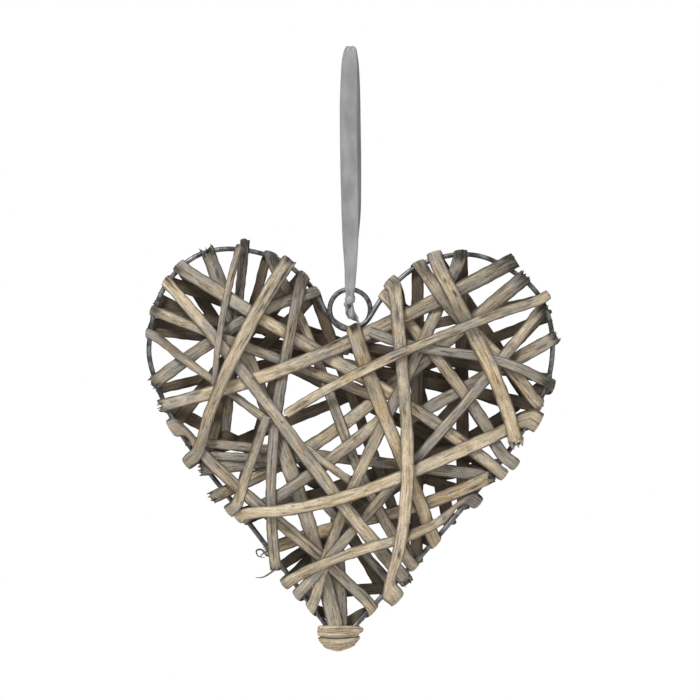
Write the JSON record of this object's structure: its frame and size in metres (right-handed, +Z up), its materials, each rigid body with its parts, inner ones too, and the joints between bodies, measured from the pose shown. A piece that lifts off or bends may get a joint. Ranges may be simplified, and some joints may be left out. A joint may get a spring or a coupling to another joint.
{
  "type": "wicker heart",
  "caption": "Hanging ornament: a bent wire heart wound front and back with split, weathered willow canes, with a ring at its notch, a bound tip and a satin ribbon loop.",
  "frame": {"origin": "inside the top of the ribbon's fold, where a hook or nail carries it", "axes": "+Z up, along the ribbon; -Y is the front face; +X to the right as seen from the front"},
  "size_m": [0.199, 0.0418, 0.2891],
  "materials": {
    "dull_steel": "dull grey",
    "weathered_willow": "bare, weathered grey-brown",
    "grey_satin": "satin"
  },
  "bodies": {
    "root": {"wire_frame": "dull_steel", "willow_cane_01": "weathered_willow", "willow_cane_02": "weathered_willow", "willow_cane_03": "weathered_willow", "willow_cane_04": "weathered_willow", "willow_cane_05": "weathered_willow", "willow_cane_06": "weathered_willow", "willow_cane_07": "weathered_willow", "willow_cane_08": "weathered_willow", "willow_cane_09": "weathered_willow", "willow_cane_10": "weathered_willow", "willow_cane_11": "weathered_willow", "willow_cane_12": "weathered_willow", "willow_cane_13": "weathered_willow", "willow_cane_14": "weathered_willow", "willow_cane_15": "weathered_willow", "willow_cane_16": "weathered_willow", "willow_cane_17": "weathered_willow", "willow_cane_18": "weathered_willow", "willow_cane_19": "weathered_willow", "willow_cane_20": "weathered_willow", "willow_cane_21": "weathered_willow", "willow_cane_22": "weathered_willow", "willow_cane_23": "weathered_willow", "willow_cane_24": "weathered_willow", "willow_cane_25": "weathered_willow", "willow_cane_26": "weathered_willow", "willow_cane_27": "weathered_willow", "willow_cane_28": "weathered_willow", "willow_cane_29": "weathered_willow", "willow_cane_30": "weathered_willow", "willow_cane_31": "weathered_willow", "willow_cane_32": "weathered_willow", "willow_cane_33": "weathered_willow", "willow_cane_34": "weathered_willow", "tip_binding": "weathered_willow", "hanging_ribbon": "grey_satin"}
  },
  "joints": []
}
